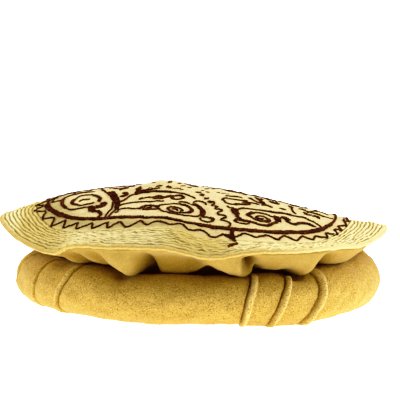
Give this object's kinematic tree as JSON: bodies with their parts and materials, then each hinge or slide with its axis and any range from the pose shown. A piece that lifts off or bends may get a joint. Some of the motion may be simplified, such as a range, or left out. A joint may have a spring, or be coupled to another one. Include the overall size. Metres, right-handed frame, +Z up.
{
  "type": "pakol",
  "caption": "Soft round wool hat with a wide flat embroidered crown, a gathered side cloth and a thick rolled brim, resting on its brim with its head hollow facing down.",
  "frame": {"origin": "on the surface that the hat rests on, below the middle of its outline", "axes": "+Z up through the crown; -Y towards the front of the hat; +X towards the right as seen from the front"},
  "size_m": [0.2778, 0.2772, 0.0919],
  "materials": {
    "crown_felt": "cream felted wool, dark wool chain-stitch scrolls, quilted border",
    "side_felt": "golden felted wool, smooth face",
    "brim_felt": "golden heathered felted wool, nap side out"
  },
  "bodies": {
    "root": {"crown": "crown_felt", "side_wall": "side_felt", "rolled_brim": "brim_felt"}
  },
  "joints": []
}
